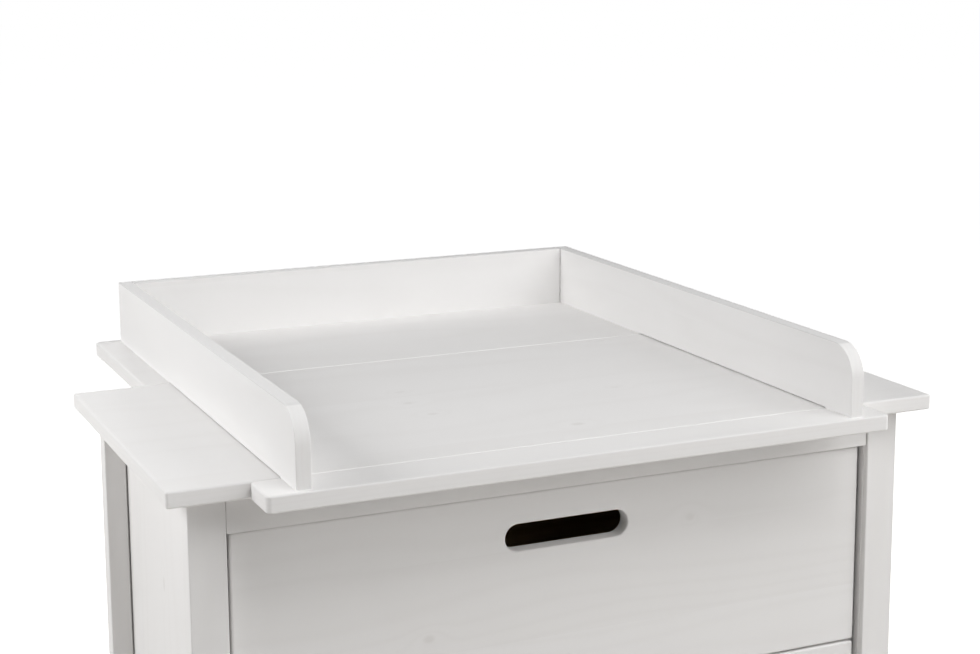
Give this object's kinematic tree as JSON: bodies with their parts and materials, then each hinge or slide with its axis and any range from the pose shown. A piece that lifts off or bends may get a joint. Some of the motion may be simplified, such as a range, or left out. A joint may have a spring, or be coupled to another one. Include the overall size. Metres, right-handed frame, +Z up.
{
  "type": "changing dresser",
  "caption": "White wooden chest of drawers with finger slots and, on its top, a changing unit: side boards with rounded corners, a back board and planks that deepen the top to front and back.",
  "frame": {"origin": "on the floor, at the middle of the whole piece's width and depth", "axes": "+Z up, out of the changing surface; +Y to the back, where the rear plank meets the wall; +X to the right as seen from the front, where the drawers open"},
  "size_m": [1, 0.837, 1.028],
  "materials": {
    "white_paint": "opaque white paint on solid pine, satin",
    "bare_pine": "planed pine, unpainted",
    "coated_board": "thin hardboard with a white coating",
    "zinc_steel": "zinc-plated steel",
    "glide_plastic": "matte white plastic",
    "grey_felt": "grey felt"
  },
  "bodies": {
    "cabinet": {"back_brackets": "zinc_steel", "back_panel": "coated_board", "back_plank": "white_paint", "bottom_rail_front": "white_paint", "bottom_rail_rear": "white_paint", "changing_back": "white_paint", "changing_side_left": "white_paint", "changing_side_right": "white_paint", "fitting_screws": "zinc_steel", "foot_glides": "glide_plastic", "front_plank": "white_paint", "front_plates": "zinc_steel", "leg_front_left": "white_paint", "leg_front_right": "white_paint", "leg_rear_left": "white_paint", "leg_rear_right": "white_paint", "runner_1_left": "bare_pine", "runner_1_right": "bare_pine", "runner_2_left": "bare_pine", "runner_2_right": "bare_pine", "runner_3_left": "bare_pine", "runner_3_right": "bare_pine", "side_panel_left": "white_paint", "side_panel_right": "white_paint", "top_cleat_left": "bare_pine", "top_cleat_right": "bare_pine", "top_panel": "white_paint", "top_rail_front": "white_paint", "top_rail_rear": "white_paint", "unit_pads": "grey_felt"},
    "drawer_1": {"drawer_1_back": "bare_pine", "drawer_1_bottom": "coated_board", "drawer_1_front": "white_paint", "drawer_1_side_left": "bare_pine", "drawer_1_side_right": "bare_pine"},
    "drawer_2": {"drawer_2_back": "bare_pine", "drawer_2_bottom": "coated_board", "drawer_2_front": "white_paint", "drawer_2_side_left": "bare_pine", "drawer_2_side_right": "bare_pine"},
    "drawer_3": {"drawer_3_back": "bare_pine", "drawer_3_bottom": "coated_board", "drawer_3_front": "white_paint", "drawer_3_side_left": "bare_pine", "drawer_3_side_right": "bare_pine"}
  },
  "joints": [
    {"name": "drawer_1_slide", "type": "slide", "parent": "cabinet", "child": "drawer_1", "axis": [0, -1, 0], "range_m": [0, 0.3]},
    {"name": "drawer_2_slide", "type": "slide", "parent": "cabinet", "child": "drawer_2", "axis": [0, -1, 0], "range_m": [0, 0.3]},
    {"name": "drawer_3_slide", "type": "slide", "parent": "cabinet", "child": "drawer_3", "axis": [0, -1, 0], "range_m": [0, 0.3]}
  ]
}
